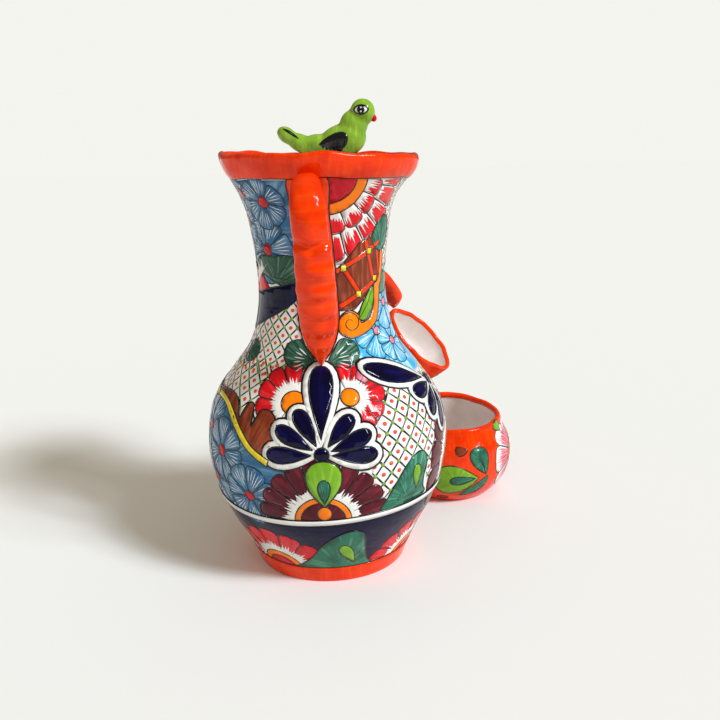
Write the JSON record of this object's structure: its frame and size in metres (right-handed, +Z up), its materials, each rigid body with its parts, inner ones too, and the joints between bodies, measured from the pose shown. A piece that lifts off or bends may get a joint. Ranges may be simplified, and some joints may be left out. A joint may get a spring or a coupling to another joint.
{
  "type": "cascade jug",
  "caption": "Hand-painted earthenware cascade jug with strap handle, rim bird, spout tongue, tilted cup and catching bowl.",
  "frame": {"origin": "centre of the jug's flat foot, on the surface it stands on", "axes": "+Z up along the jug's axis; -Y towards the handle, +Y towards the bird on the rim; the cascade of tongue, cup and bowl runs out midway between +X and +Y"},
  "size_m": [0.3305, 0.339, 0.454],
  "materials": {
    "painted_glaze": "gloss",
    "orange_glaze": "gloss",
    "white_glaze": "gloss",
    "green_glaze": "gloss",
    "dark_glaze": "gloss",
    "red_glaze": "gloss",
    "bare_clay": "matte"
  },
  "bodies": {
    "root": {"base_disc": "bare_clay", "foot_ring": "orange_glaze", "lower_belly_wall": "painted_glaze", "upper_belly_wall": "painted_glaze", "shoulder_wall": "painted_glaze", "lower_neck_wall": "painted_glaze", "upper_neck_wall": "painted_glaze", "rim_collar": "orange_glaze", "handle_lobe": "orange_glaze", "handle_strap": "orange_glaze", "spout_tongue": "orange_glaze", "cup_wall": "orange_glaze", "cup_rim_coil": "orange_glaze", "cup_luting_pad": "orange_glaze", "bowl_floor": "bare_clay", "lower_bowl_wall": "orange_glaze", "upper_bowl_wall": "orange_glaze", "bowl_rim_coil": "orange_glaze", "bowl_luting_bridge": "orange_glaze", "bird_base": "dark_glaze", "bird_body": "green_glaze", "bird_head": "green_glaze", "bird_beak": "red_glaze", "bird_tail": "green_glaze"}
  },
  "joints": []
}
